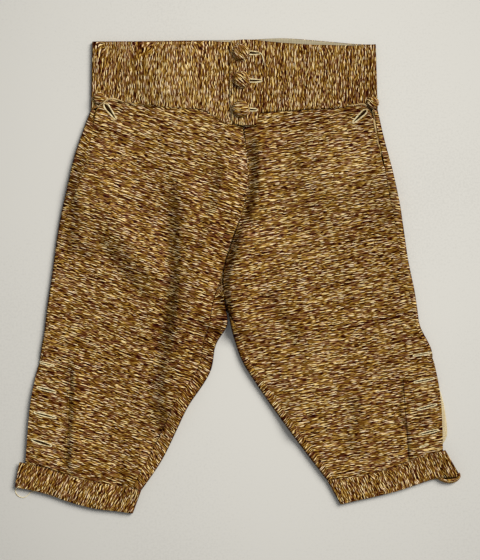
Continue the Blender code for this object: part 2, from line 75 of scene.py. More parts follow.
MM = 0.001                         # lengths are in millimetres, and this makes them metres
BOARD_SIDE = 6000.0
BOARD_UNDER = 0.3                  # the board's face lies this far under the cloth
BOARD_TONE = "#dad7d0"
BOARD_FIBRE = 3.0                  # spacing of the fibres, drawn coarse enough to show
BOARD_CLOUDS = 400.0               # spacing of the sheet's wide, faint clouds
BOARD_MOTTLE = (0.94, 1.04)        # the darkest and the palest spots, as shares of the tone
BOARD_PAINTED_LIGHT_MIDDLE = (130, 199)       # painted light: the board is painted darker away from here, the room's bright side
BOARD_PAINTED_FALLOFF = (0.62, 0.38)          # by how much, to each side and up or down, at a metre
BOARD_PAINTED_DARKEST = 0.7                # and it gets no darker than this, far away
VIEW_CENTRE = (2.3, -6.6)          # middle of the view
VIEW_LENGTH = 821.0                # long side of the view, at the height of the cloth
CLOTH_HEIGHT = 6.0
CAMERA_HEIGHT = 2400.0
SENSOR = 36.0
WINDOW_FROM = (0.62, 0.53, 0.71)   # direction towards the window
WINDOW_WIDTH = 34.0                # how wide the window looks, in degrees
WINDOW_POWER = 3.56
WINDOW_TINT = (1.0, 0.985, 0.95)
ROOM_LIGHT = 0.28
ROOM_TINT = (0.95, 0.98, 1.0, 1.0)


def linear(code):
    """An sRGB hex colour as linear red, green, blue and alpha."""
    shares = [int(code[i:i + 2], 16) / 255 for i in (1, 3, 5)]
    return [s / 12.92 if s <= 0.04045 else ((s + 0.055) / 1.055) ** 2.4 for s in shares] + [1.0]


def mesh_data(mesh, name):
    """A finished bmesh as mesh data of this name."""
    data = bpy.data.meshes.new(name)
    mesh.to_mesh(data)
    mesh.free()
    return data


def place_in_scene(name, data):
    """An object of this name that shows the data."""
    made = bpy.data.objects.new(name, data)
    bpy.context.scene.collection.objects.link(made)
    return made


def add_node(material, kind, inputs=None, **settings):
    """Adds a shader node, makes its settings, and sets or links its inputs."""
    made = material.node_tree.nodes.new("ShaderNode" + kind)
    for name, value in settings.items():
        setattr(made, name, value)
    for name, value in (inputs or {}).items():
        if isinstance(value, bpy.types.NodeSocket):
            material.node_tree.links.new(value, made.inputs[name])
        else:
            made.inputs[name].default_value = value
    return made


def new_material(name):
    """An empty material of this name."""
    made = bpy.data.materials.new(name)
    made.use_nodes = True
    made.node_tree.nodes.clear()
    return made


def finish_material(material, surface):
    """Links the finished surface to the material's output."""
    add_node(material, "OutputMaterial", {"Surface": surface.outputs[0]})


def paper_board():
    """Matt, faintly fibrous paper: even to the eye, with a grain that only just shows, and painted
    light.
    """
    made = new_material("matt_paper_board")
    place = add_node(made, "TexCoord")
    fibre = add_node(made, "TexNoise", {
        "Vector": place.outputs["Object"], "Scale": 1 / (BOARD_FIBRE * MM), "Detail": 3.0,
    })
    cloud = add_node(made, "TexNoise", {
        "Vector": place.outputs["Object"], "Scale": 1 / (BOARD_CLOUDS * MM),
    })
    both = add_node(made, "Math", {0: fibre.outputs[0], 1: cloud.outputs[0]}, operation="ADD")
    tone = add_node(made, "ValToRGB", {"Fac": both.outputs[0]})
    tone.color_ramp.elements[0].position = 0.6
    for stop, share in zip(tone.color_ramp.elements, BOARD_MOTTLE):
        stop.color = [c * share for c in linear(BOARD_TONE)[:3]] + [1.0]
    # Painted light: the board is painted darker away from the room's bright side, down to the
    # darkest share.
    away = add_node(made, "VectorMath", {
        0: place.outputs["Object"], 1: (*[c * MM for c in BOARD_PAINTED_LIGHT_MIDDLE], 0),
    }, operation="SUBTRACT")
    flat = add_node(made, "VectorMath", {
        0: away.outputs[0], 1: (BOARD_PAINTED_FALLOFF[0] ** 0.5, BOARD_PAINTED_FALLOFF[1] ** 0.5, 0),
    }, operation="MULTIPLY")
    fall = add_node(made, "VectorMath", {
        0: flat.outputs[0], 1: flat.outputs[0],
    }, operation="DOT_PRODUCT")
    shade = add_node(made, "MapRange", {
        "Value": fall.outputs["Value"], "From Max": 1 - BOARD_PAINTED_DARKEST, "To Min": 1.0,
        "To Max": BOARD_PAINTED_DARKEST,
    })
    colour = add_node(made, "VectorMath", {
        0: tone.outputs[0], "Scale": shade.outputs[0],
    }, operation="SCALE")
    surface = add_node(made, "BsdfPrincipled", {
        "Base Color": colour.outputs[0], "Roughness": 0.9, "Specular IOR Level": 0.2,
    })
    finish_material(made, surface)
    return made


sheet_mesh = bmesh.new()
bmesh.ops.create_grid(sheet_mesh, x_segments=1, y_segments=1, size=BOARD_SIDE / 2 * MM)
bmesh.ops.translate(sheet_mesh, verts=sheet_mesh.verts, vec=(0, 0, -BOARD_UNDER * MM))
board = place_in_scene("board", mesh_data(sheet_mesh, "board"))
board.data.materials.append(paper_board())
board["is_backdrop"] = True

camera_data = bpy.data.cameras.new("camera")
camera_data.sensor_width = SENSOR
camera_data.lens = SENSOR * (CAMERA_HEIGHT - CLOTH_HEIGHT) / VIEW_LENGTH
camera = place_in_scene("camera", camera_data)
camera.location = Vector((*VIEW_CENTRE, CAMERA_HEIGHT)) * MM
bpy.context.scene.camera = camera

window_data = bpy.data.lights.new("window", "SUN")
window_data.angle = math.radians(WINDOW_WIDTH)
window_data.energy = WINDOW_POWER
window_data.color = WINDOW_TINT
window = place_in_scene("window", window_data)
window.rotation_euler = Vector(WINDOW_FROM).to_track_quat("Z", "Y").to_euler()

room = bpy.data.worlds.new("room")
room.use_nodes = True
glow = room.node_tree.nodes["Background"].inputs
glow["Color"].default_value = ROOM_TINT
glow["Strength"].default_value = ROOM_LIGHT
bpy.context.scene.world = room
bpy.context.scene.view_settings.view_transform = "Standard"

# ---- The fronts ----------------------------------------------------------------------------
# Two fronts of silk, cut with the pattern on the slant, lined with linen and sewn to the
# waistband, to each other down to the fork, and to the backs at both sides.

WEAVE = "weave"

# Two runs of shades, a golden and a rosier one, each from the darkest float to the palest.
SHADE_STEPS = [0.0, 0.2, 0.35, 0.5, 0.65, 0.8, 0.92, 1.0]
GOLDEN = ["#160000", "#310b00", "#502703", "#704b14", "#926c27", "#b58d3f", "#deb566", "#fde3a6"]
ROSY = ["#1b0000", "#390a03", "#53260e", "#704728", "#8d663c", "#ae8556", "#d9b281", "#fde5bc"]
ROSY_FROM, ROSY_TO = 0.48, 0.78    # of a float's chances from 0 to 1, those that turn it rosy

# Floats lie in two broken rows over each other. A float is a spindle of the half length and
# half width, with a darker twin beside it, one to each cell of length by pitch. The twin is
# partly the pattern's dark dashes and partly painted shadow under the float.
Float = namedtuple("Float", "length pitch half_length half_width twin palest darkest stray")
FLOATS = [
    Float(7.6, 2.1, 4.8, 0.53, 1.9, 1.35, -1.3, 0.9),
    Float(11.0, 3.2, 6.6, 0.7, 2.0, 1.7, -1.3, 0.9),
]
FLOAT_EDGE = 0.3                   # how much of a spindle is full colour
ROWS_APART = (3.7, 1.3)            # the second rows start this many cells along and across
DRIFT = (1.2, 0.5)                 # how far the floats stray from their rows
DRIFT_SPACING = 14.0
CLUSTER_SPACING = 11.0             # pale and dark floats gather in clusters this far apart
CLUSTER_DEPTH = 0.3                # and differ by this much from one to the next

# Under them the ground is ribbed along the floats, in short broken ribs that are coarser than
# the real ones, so that they show.
RIB_PITCH = 4.0
RIB_DEPTH = (0.1, 0.8)             # where a rib is weakest and where it is strongest
RIB_BREAKS = (9.5, 4.0)            # spacing of the breaks along and across the ribs
RIB_SHOWS = (0.3, 0.65)            # how much of the ground lies between weak and strong ribs
RIB_STRAY = (11.0, 4.6)            # spacing at which a rib strays to the side
RIB_TURNS = 1.9                    # and how far, in ribs
BREAKS_START = 7.3                 # keeps the breaks from falling where a rib strays

PAINTED_SHADE = "painted_shade"                      # painted shade: 1 on a turned edge, 0 on the flat, below 0 where a patch paints it paler
PAINTED_SHADE_DEPTH = 0.7                   # how much darker painted shade makes a turned edge


def streaked_silk(name, middle):
    """Warp-patterned silk: short tapered floats, pale, golden, rosy and dark, in broken rows,
    with a low gloss, round a middle shade. The floats are at their real size; the threads in
    them are too fine."""
    made = new_material(name)
    place = add_node(made, "UVMap", uv_map=WEAVE)
    drift = add_node(made, "TexNoise", {
        "Vector": place.outputs[0], "Scale": 1 / (DRIFT_SPACING * MM), "Detail": 1.0,
    })
    centred = add_node(made, "VectorMath", {
        0: drift.outputs["Color"], 1: (0.5, 0.5, 0.5),
    }, operation="SUBTRACT")
    strayed = add_node(made, "VectorMath", {
        0: centred.outputs[0], 1: (DRIFT[0] * MM, DRIFT[1] * MM, 0), 2: place.outputs[0],
    }, operation="MULTIPLY_ADD")
    cluster = add_node(made, "TexNoise", {
        "Vector": place.outputs[0], "Scale": 1 / (CLUSTER_SPACING * MM), "Detail": 1.0,
    })
    tone = add_node(made, "Math", {
        0: cluster.outputs[0], 1: CLUSTER_DEPTH, 2: middle - CLUSTER_DEPTH / 2,
    }, operation="MULTIPLY_ADD")

    for i, row in enumerate(FLOATS):
        at = add_node(made, "Mapping", {
            "Vector": strayed.outputs[0], "Location": (ROWS_APART[0] * i, ROWS_APART[1] * i, 0),
            "Scale": (1 / (row.length * MM), 1 / (row.pitch * MM), 1),
        })
        cell = add_node(made, "TexVoronoi", {
            "Vector": at.outputs[0], "Scale": 1.0, "Randomness": row.stray,
        }, voronoi_dimensions="2D")
        off = add_node(made, "VectorMath", {
            0: at.outputs[0], 1: cell.outputs["Position"],
        }, operation="SUBTRACT")
        share = add_node(made, "VectorMath", {
            0: off.outputs[0], 1: (row.length / row.half_length, row.pitch / row.half_width, 0),
        }, operation="MULTIPLY")
        beside = add_node(made, "SeparateXYZ", {0: share.outputs[0]})
        taper = add_node(made, "Math", {0: beside.outputs[0], 1: 2.0}, operation="POWER")
        spindles = []
        for step in (0.0, row.twin):
            across = add_node(made, "Math", {0: beside.outputs[1], 1: step}, operation="ADD")
            across = add_node(made, "Math", {0: across.outputs[0]}, operation="ABSOLUTE")
            whole = add_node(made, "Math", {
                0: taper.outputs[0], 1: across.outputs[0],
            }, operation="ADD")
            spindles.append(add_node(made, "MapRange", {
                "Value": whole.outputs[0], "From Min": 1.0, "From Max": FLOAT_EDGE,
            }, interpolation_type="SMOOTHSTEP"))
        pair = add_node(made, "Math", {
            0: spindles[0].outputs[0], 1: spindles[1].outputs[0],
        }, operation="SUBTRACT")
        lot = add_node(made, "SeparateColor", {0: cell.outputs["Color"]})
        strength = add_node(made, "MapRange", {
            "Value": lot.outputs[0], "To Min": row.darkest, "To Max": row.palest,
        })
        tone = add_node(made, "Math", {
            0: pair.outputs[0], 1: strength.outputs[0], 2: tone.outputs[0],
        }, operation="MULTIPLY_ADD")
        if i == 0:
            rosy = add_node(made, "MapRange", {
                "Value": lot.outputs[1], "From Min": ROSY_FROM, "From Max": ROSY_TO,
            })

    uneven = []
    for spacing, start in ((RIB_STRAY, 0.0), (RIB_BREAKS, BREAKS_START)):
        at = add_node(made, "Mapping", {
            "Vector": place.outputs[0], "Location": (start, start, 0),
            "Scale": (1 / (spacing[0] * MM), 1 / (spacing[1] * MM), 1),
        })
        uneven.append(add_node(made, "TexNoise", {
            "Vector": at.outputs[0], "Scale": 1.0, "Detail": 0.0,
        }))
    across = add_node(made, "SeparateXYZ", {0: place.outputs[0]})
    stray = add_node(made, "Math", {
        0: uneven[0].outputs[0], 1: RIB_TURNS * math.tau,
    }, operation="MULTIPLY")
    turn = add_node(made, "Math", {
        0: across.outputs[1], 1: math.tau / (RIB_PITCH * MM), 2: stray.outputs[0],
    }, operation="MULTIPLY_ADD")
    rib = add_node(made, "Math", {0: turn.outputs[0]}, operation="SINE")
    depth = add_node(made, "MapRange", {
        "Value": uneven[1].outputs[0], "From Min": RIB_SHOWS[0], "From Max": RIB_SHOWS[1],
        "To Min": RIB_DEPTH[0], "To Max": RIB_DEPTH[1],
    })
    tone = add_node(made, "Math", {
        0: rib.outputs[0], 1: depth.outputs[0], 2: tone.outputs[0],
    }, operation="MULTIPLY_ADD")

    # Painted shade: the silk is darker on turned edges and steep fold sides, and darker or paler
    # in broad patches.
    painted_shade = add_node(made, "Attribute", attribute_name=PAINTED_SHADE)
    tone = add_node(made, "Math", {
        0: painted_shade.outputs["Fac"], 1: -PAINTED_SHADE_DEPTH, 2: tone.outputs[0],
    }, operation="MULTIPLY_ADD")
    level = add_node(made, "MapRange", {
        "Value": tone.outputs[0], "From Min": -1.0, "From Max": 1.0,
    })
    runs = []
    for shades in (GOLDEN, ROSY):
        run = add_node(made, "ValToRGB", {"Fac": level.outputs[0]})
        stops = run.color_ramp.elements
        for step in SHADE_STEPS[1:-1]:
            stops.new(step)
        for stop, code in zip(stops, shades):
            stop.color = linear(code)
        runs.append(run)
    colour = add_node(made, "Mix", {
        0: rosy.outputs[0], 6: runs[0].outputs[0], 7: runs[1].outputs[0],
    }, data_type="RGBA")
    relief = add_node(made, "Bump", {
        "Height": tone.outputs[0], "Strength": 0.25, "Distance": 0.3 * MM,
    })
    surface = add_node(made, "BsdfPrincipled", {
        "Base Color": colour.outputs[2], "Roughness": 0.55, "Specular IOR Level": 0.03,
        "Normal": relief.outputs[0],
    })
    finish_material(made, surface)
    return made


SILK = streaked_silk("streaked_silk", -0.11)


def flat_parts(mesh, weave):
    """The pieces that the weave map falls into, each a list of faces."""
    left = set(mesh.faces)
    while left:
        part = [left.pop()]
        for face in part:
            for loop in face.loops:
                for other in loop.link_loops:
                    if other.face in left and (
                        (loop[weave].uv - other.link_loop_next[weave].uv).length < 1e-5
                        and (loop.link_loop_next[weave].uv - other[weave].uv).length < 1e-5
                    ):
                        left.discard(other.face)
                        part.append(other.face)
        yield part


RIM_TURN = 62.0            # an edge that turns more than this, in degrees, is a rim
RIM_SHARP = 0.9            # how sharp a rim stays when the cloth is made finer
LEVEL = 0.9                # a face that looks up or down more than this share is level


def cloth_copy(node, name, streaks, top=None, finer=2, squeeze=1.0):
    """A finer, smoother copy of a solid cloth wall. Its weave map is its own flat pattern, in
    metres, with the streaks at this angle, in degrees, where the layer over or under the height
    top lies (over for a positive height, under for a negative one). A squeeze over 1 shortens
    the floats."""
    mesh = bmesh.new()
    mesh.from_mesh(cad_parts[node].data)
    bmesh.ops.remove_doubles(mesh, verts=mesh.verts, dist=0.001 * MM)
    bmesh.ops.join_triangles(
        mesh, faces=mesh.faces, angle_face_threshold=math.radians(50),
        angle_shape_threshold=math.radians(60),
    )
    crease = mesh.edges.layers.float.new("crease_edge")
    for edge in mesh.edges:
        if edge.calc_face_angle(0) > math.radians(RIM_TURN):
            edge.seam = True
            edge[crease] = RIM_SHARP
    data = mesh_data(mesh, name)
    made = place_in_scene(name, data)

    bpy.context.view_layer.objects.active = made
    made.select_set(True)
    bpy.ops.object.mode_set(mode="EDIT")
    bpy.ops.mesh.select_all(action="SELECT")
    bpy.ops.uv.unwrap(method="ANGLE_BASED", margin=0.001)
    bpy.ops.object.mode_set(mode="OBJECT")
    made.select_set(False)
    data.uv_layers.active.name = WEAVE

    mesh = bmesh.new()
    mesh.from_mesh(data)
    weave = mesh.loops.layers.uv[WEAVE]
    angle = math.radians(streaks)
    to_streaks = np.array([
        [math.cos(angle), -math.sin(angle)], [math.sin(angle), math.cos(angle)],
    ])
    for part in list(flat_parts(mesh, weave)):
        level = [f for f in part if abs(f.normal.z) > LEVEL]
        if top is not None:
            level = [
                f for f in level if (f.calc_center_median().z > abs(top)) == (top > 0)
            ] or level
        level = level or part
        flat = np.array([loop[weave].uv[:] for f in level for loop in f.loops])
        real = np.array([loop.vert.co[:2] for f in level for loop in f.loops])
        flat_mid, real_mid = flat.mean(0), real.mean(0)
        u, sizes, v = np.linalg.svd((flat - flat_mid).T @ (real - real_mid))
        turn = u @ v * sizes.sum() / ((flat - flat_mid) ** 2).sum() @ to_streaks
        for face in part:
            for loop in face.loops:
                place = (np.array(loop[weave].uv[:]) - flat_mid) @ turn
                loop[weave].uv = (place + real_mid @ to_streaks) * (squeeze, 1)
    mesh.to_mesh(data)
    mesh.free()

    smooth = made.modifiers.new("Smooth", "SUBSURF")
    smooth.levels = smooth.render_levels = finer
    smooth.boundary_smooth = "ALL"
    whole = bpy.data.meshes.new_from_object(
        made.evaluated_get(bpy.context.evaluated_depsgraph_get())
    )
    made.modifiers.clear()
    made.data = whole
    bpy.data.meshes.remove(data)
    whole.name = name
    return made


# Ridges and troughs of the cloth, all in millimetres: height, then the half widths to the left
# and right of the path, which runs from its top end down.
Fold = namedtuple("Fold", "height left right path")
FOLDS = [
    Fold(15.5, 16, 30, [(-84, 176), (-82, 120), (-80, 60), (-79, -5), (-86, -70), (-100, -142),
         (-108, -250)]),
    Fold(-2.2, 9, 6, [(-105, 110), (-104, 37), (-106, -21), (-114, -80), (-126, -142)]),
    Fold(12, 26, 30, [(-236, 156), (-202, 100), (-168, 48), (-132, 4), (-96, -20)]),
    Fold(-2.2, 12, 9, [(-218, 72), (-186, 22), (-148, -24), (-122, -46)]),
    Fold(8, 12, 15, [(-13, 190), (-24, 133), (-36, 85), (-50, 35), (-62, -21), (-72, -80)]),
    Fold(-2.2, 8, 6, [(7, 223), (11, 184), (16, 161), (13, 126), (6, 89), (-5, 58), (-15, 29),
         (-24, -10), (-24, -42), (-14, -84)]),
    Fold(13, 13, 36, [(14, 86), (4, 48), (-6, 10), (-10, -28), (-4, -64), (8, -104)]),
    Fold(6, 9, 26, [(27, 218), (33, 158), (28, 110), (20, 64)]),
    Fold(-2.2, 8, 8, [(-32, -18), (-34, -52), (-28, -92)]),
    Fold(7, 10, 14, [(-56, -58), (-38, -70), (-20, -82), (-8, -92)]),
    Fold(-2.2, 14, 16, [(230, 152), (200, 96), (165, 58), (122, 5), (88, -40)]),
    Fold(7, 60, 55, [(84, 196), (120, 156), (158, 112)]),
    Fold(7, 45, 20, [(198, 174), (232, 134), (258, 90)]),
    Fold(4.5, 22, 30, [(-190, 240), (-192, 184), (-201, 118)]),
    Fold(-1.6, 14, 14, [(160, -176), (157, -215), (140, -262)]),
    Fold(3.5, 12, 20, [(182, -170), (180, -215), (166, -262)]),
    Fold(3.5, 18, 14, [(91, -146), (85, -198), (76, -249)]),
    Fold(-1.6, 12, 12, [(26, -10), (56, -60), (84, -110), (92, -160)]),
    Fold(3, 14, 24, [(46, -6), (76, -56), (104, -106)]),
    Fold(-2.2, 8, 8, [(-171, -254), (-175, -293), (-177, -337)]),
    Fold(2.6, 14, 14, [(-144, -242), (-147, -286), (-149, -337)]),
    Fold(10, 18, 34, [(-206, 205), (-223, 126), (-234, 24)]),
    Fold(-1.2, 3, 3.5, [(-188, 252), (-175, 250), (-162, 247), (-144, 244), (-127, 242)]),
    Fold(11, 36, 64, [(-124, 340), (-112, 290), (-96, 255)]),
    Fold(-2.2, 20, 16, [(172, 318), (182, 282), (196, 250)]),
    Fold(-1.5, 0.8, 13, [(-13.5, 372), (-13.5, 290), (-13.5, 205)]),
    Fold(9, 9, 20, [(-236, -108), (-237, -140), (-238, -174), (-240, -210), (-242, -242),
         (-243, -306)]),
    Fold(-2, 4, 3, [(240, -140), (237, -176), (235, -202), (247, -232), (248, -296)]),
]
FOLD_STEP = 4.0                    # spacing of the points that a path is read at
FOLD_ENDS = 0.18                   # the share of a fold over which it fades at each end
FOLD_REACH = 3                     # a fold is felt this many half widths away
UNEVEN = (0.45, 45.0)              # soft unevenness of the whole cloth: height and spacing
STILL_UNDER, FREE_OVER = 0.3, 6.0  # heights between which cloth begins to follow the folds
DEEPEST = 2.3                      # a trough stops at the layers below
ROUNDED_FROM, ROUNDED_BY = 11.5, 3.2   # crests that add up are rounded off over this height
PAINTED_SHADE_FROM, PAINTED_SHADE_OVER = 0.97, 0.5   # where a face turns from level, and over how much, to full painted shade

# Broad patches of painted light and shade, painted paler or darker in place of the soft shading of
# broad undulations: how much darker, then the middle and the half size in millimetres.
PaintedPatch = namedtuple("PaintedPatch", "darker middle half")
PAINTED_LIGHT_PATCHES = [
    PaintedPatch(-0.27, (-86, 275), (55, 25)),
    PaintedPatch(-0.2, (-71, 225), (60, 40)),
    PaintedPatch(0.24, (29, 272), (25, 45)),
    PaintedPatch(0.42, (178, 269), (30, 25)),
    PaintedPatch(-0.3, (149, 158), (55, 38)),
    PaintedPatch(0.2, (-34, 74), (38, 38)),
    PaintedPatch(0.27, (-108, -73), (40, 45)),
    PaintedPatch(0.36, (-34, -109), (30, 60)),
    PaintedPatch(0.26, (-71, -175), (40, 35)),
    PaintedPatch(-0.28, (73, 52), (25, 35)),
    PaintedPatch(-0.26, (117, -131), (35, 38)),
    PaintedPatch(0.24, (-218, -136), (40, 25)),
]


def read_path(path):
    """Points at even steps along a smooth line through a path's points, and their shares."""
    knots = np.array(path, float)
    ends = np.vstack([2 * knots[0] - knots[1], knots, 2 * knots[-1] - knots[-2]])
    points = []
    for before, start, end, after in zip(ends, ends[1:], ends[2:], ends[3:]):
        count = max(2, int(np.linalg.norm(end - start) / FOLD_STEP))
        t = np.arange(count)[:, None] / count
        points.append(0.5 * (
            2 * start + (end - before) * t + (2 * before - 5 * start + 4 * end - after) * t ** 2
            + (3 * start - before - 3 * end + after) * t ** 3
        ))
    points = np.vstack([*points, knots[-1:]])
    steps = np.linalg.norm(np.diff(points, axis=0), axis=1)
    return points, np.concatenate([[0], np.cumsum(steps)]) / steps.sum()


def fold_cloth(piece, folds=FOLDS, still=STILL_UNDER, free=FREE_OVER):
    """Lifts the ridges and sinks the troughs in both walls of a sheet, where it lies free, and
    notes painted shade on turned edges and painted light and shade in broad patches."""
    mesh = piece.data
    level = np.array([normal.vector.z for normal in mesh.vertex_normals])
    painted_shade = mesh.attributes.new(PAINTED_SHADE, "FLOAT", "POINT")
    flat = np.empty(len(mesh.vertices) * 3, np.float32)
    mesh.vertices.foreach_get("co", flat)
    place = flat.reshape(-1, 3).astype(float) / MM
    # Painted shade: faces that turn from level, at rims and steep fold sides, are marked to be
    # darkened.
    shade = np.clip((PAINTED_SHADE_FROM - np.abs(level)) / PAINTED_SHADE_OVER, 0, 1)
    # Painted light and shade: each broad patch paints the silk darker or paler.
    for patch in PAINTED_LIGHT_PATCHES:
        off = (place[:, :2] - patch.middle) / patch.half
        shade += patch.darker * np.exp(-(off ** 2).sum(1))
    painted_shade.data.foreach_set("value", shade.astype(np.float32))
    lift = np.array([
        UNEVEN[0] * noise.noise((x / UNEVEN[1], y / UNEVEN[1], 0.5)) for x, y, _ in place
    ])
    for fold in folds:
        points, shares = read_path(fold.path)
        reach = FOLD_REACH * max(fold.left, fold.right)
        plan = place[:, :2]
        near = np.all((plan > points.min(0) - reach) & (plan < points.max(0) + reach), 1)
        spots = plan[near]
        start, along = points[:-1], np.diff(points, axis=0)
        off = spots[:, None] - start[None]
        t = np.clip((off * along).sum(2) / (along ** 2).sum(1), 0, 1)
        apart = off - t[:, :, None] * along[None]
        far = np.linalg.norm(apart, axis=2)
        which = far.argmin(1)
        row = np.arange(len(spots))
        cross = along[which, 0] * apart[row, which, 1] - along[which, 1] * apart[row, which, 0]
        width = np.where(cross < 0, fold.left, fold.right)
        share = shares[which] + t[row, which] * (shares[which + 1] - shares[which])
        fade = np.clip(np.minimum(share, 1 - share) / FOLD_ENDS, 0, 1)
        fade = fade * fade * (3 - 2 * fade)
        lift[near] += fold.height * fade * np.exp(-(far[row, which] / width) ** 2)
    over = np.maximum(lift - ROUNDED_FROM, 0)
    lift = np.clip(lift, -DEEPEST, ROUNDED_FROM) + ROUNDED_BY * (1 - np.exp(-over / ROUNDED_BY))
    loose = np.clip((place[:, 2] - still) / (free - still), 0, 1)
    place[:, 2] += lift * loose * loose * (3 - 2 * loose)
    mesh.vertices.foreach_set("co", (place * MM).ravel().astype(np.float32))
    mesh.update()


def dress(piece, slot, *nodes, finish=SILK):
    """Gives a piece its finish, shades it smooth, hangs it under the root, and hides the solids
    that it stands for.
    """
    piece.data.materials.clear()
    piece.data.materials.append(finish)
    piece.data.shade_smooth()
    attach(piece, "root")
    if nodes:
        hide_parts(*nodes)


def new_piece(mesh, name, slot, finish, *nodes):
    """Makes a mesh a piece of the breeches."""
    made = place_in_scene(name, mesh_data(mesh, name))
    dress(made, slot, *nodes, finish=finish)
    return made


def silk_panel(node, streaks, finish=SILK, **cut):
    """The silk that stands for a solid panel, with its creases."""
    made = cloth_copy(node, node + "_silk", streaks, **cut)
    fold_cloth(made)
    dress(made, "silk", node, finish=finish)
    return made


right_front = silk_panel("right_front", -17, finer=3)
left_front = silk_panel("left_front", 9, finer=3)

# ---- The backs -----------------------------------------------------------------------------
# Two backs of the same silk, joined down the middle of the seat. They lie on the board and come
# round to the top at both sides of each leg, where they are sewn to the fronts.

BETWEEN = 4 * MM           # a height between the layer on the board and the one on top

right_back = silk_panel("right_back", -6, top=-BETWEEN)
left_back = silk_panel("left_back", 24, top=-BETWEEN)

# ---- The waistband -------------------------------------------------------------------------
# Two deep halves of silk with the pattern upright, lined, the left half lapped over the right
# one in front and ending in a short tongue.

PALER_SHEEN_SILK = streaked_silk("upright_silk_painted_sheen", -0.03)   # painted sheen: a paler copy, for the light that upright floats catch
right_band, left_band = (
    silk_panel(node, 90, finish=PALER_SHEEN_SILK, top=BETWEEN, finer=3, squeeze=1.15)
    for node in ("right_waistband", "left_waistband")
)

# ---- The lining and the facing that show ---------------------------------------------------
# Undyed linen in plain weave: the lining of the waistband stands up behind the front's top edge,
# and the facing of the left knee opening looks out past the side of the leg.

LINEN_THREAD = 1.2         # spacing of the threads, drawn coarser than they are so that they show
LINEN_STILL, LINEN_FREE = 0.5, 3.0     # heights between which the thin linen begins to undulate


def plain_linen(name, shades, thread):
    """Plain-woven linen: a matt, slightly slubby criss-cross of threads at this spacing."""
    made = new_material(name)
    place = add_node(made, "UVMap", uv_map=WEAVE)
    rows = []
    for way in ("X", "Y"):
        rows.append(add_node(made, "TexWave", {
            "Vector": place.outputs[0], "Scale": 1 / (thread * MM) / math.tau, "Distortion": 1.5,
            "Detail": 1.0, "Detail Scale": 0.5,
        }, bands_direction=way))
    both = add_node(made, "Math", {0: rows[0].outputs[1], 1: rows[1].outputs[1]}, operation="ADD")
    slub = add_node(made, "TexNoise", {
        "Vector": place.outputs[0], "Scale": 1 / (6 * thread * MM), "Detail": 2.0,
    })
    tone = add_node(made, "Math", {0: both.outputs[0], 1: slub.outputs[0]}, operation="ADD")
    level = add_node(made, "MapRange", {
        "Value": tone.outputs[0], "From Min": 0.6, "From Max": 2.4,
    })
    run = add_node(made, "ValToRGB", {"Fac": level.outputs[0]})
    for stop, code in zip(run.color_ramp.elements, shades):
        stop.color = linear(code)
    relief = add_node(made, "Bump", {
        "Height": both.outputs[0], "Strength": 0.3, "Distance": 0.2 * MM,
    })
    surface = add_node(made, "BsdfPrincipled", {
        "Base Color": run.outputs[0], "Roughness": 0.85, "Specular IOR Level": 0.15,
        "Normal": relief.outputs[0],
    })
    finish_material(made, surface)
    return made


waist_lining = cloth_copy("back_waistband_lining", "waist_lining_linen", 0)
fold_cloth(waist_lining, folds=[], still=LINEN_STILL, free=LINEN_FREE)
dress(waist_lining, "waist_lining", "back_waistband_lining",
      finish=plain_linen("olive_linen", ("#8f8468", "#bcb093"), LINEN_THREAD))
knee_facing = cloth_copy("left_knee_facing", "knee_facing_linen", 0)
fold_cloth(knee_facing, folds=[], still=LINEN_STILL, free=LINEN_FREE)
dress(knee_facing, "knee_facing", "left_knee_facing",
      finish=plain_linen("cream_linen", ("#a8946c", "#e0cfa8"), LINEN_THREAD))

# ---- The knee bands ------------------------------------------------------------------------
# Narrow bands of silk with the pattern nearly upright, gathered to the legs' lower edges. The
# left one's end is turned under in a tab.

right_knee = silk_panel("right_knee_band", 66, top=BETWEEN, squeeze=1.2)
left_knee = silk_panel("left_knee_band", -66, top=BETWEEN, squeeze=1.2)

# ---- The seams and the knee plackets -------------------------------------------------------
# Panels are sewn edge to edge with the allowances turned in, so each seam is a fine groove. At
# each knee a placket lies over the side of the front, with a folded edge.

CLOTH = [right_front, left_front, right_back, left_back, right_band, left_band, right_knee,
         left_knee, waist_lining, knee_facing]
SEAM_REACH = 1.8           # edges this near each other are drawn together
SEAM_SLOPE = 0.6           # unless one lies over the other by more than this share


def cloth_tree(piece):
    data = piece.data
    return BVHTree.FromPolygons([v.co for v in data.vertices], [f.vertices for f in data.polygons])


def close_seams(pieces):
    """Draws the edges of neighbouring pieces halfway to each other."""
    trees = [cloth_tree(piece) for piece in pieces]
    moves = []
    for i, piece in enumerate(pieces):
        for vert in piece.data.vertices:
            best = None
            for j, tree in enumerate(trees):
                if j != i:
                    spot, _, _, far = tree.find_nearest(vert.co, SEAM_REACH * MM)
                    if spot and (best is None or far < best[1]):
                        best = (spot - vert.co, far)
            if best and abs(best[0].z) < SEAM_SLOPE * best[1]:
                moves.append((vert, best[0] / 2))
    for vert, move in moves:
        vert.co += move


close_seams(CLOTH)

Placket = namedtuple("Placket", "name front top bottom outer")
PLACKETS = [
    Placket("right_knee_placket", right_front, (-246.1, -146.0), (-253.4, -282.0), -1),
    Placket("left_knee_placket", left_front, (240.5, -140.0), (251.9, -280.0), 1),
]
PLACKET_LIFT = 1.0         # how far the placket's top lies over the front
PLACKET_ROOT = 0.7         # and how far under it its upper end starts
PLACKET_RISE = 40.0        # it comes out of the seam over this length
PLACKET_SHEET = 1.2        # how thick it is

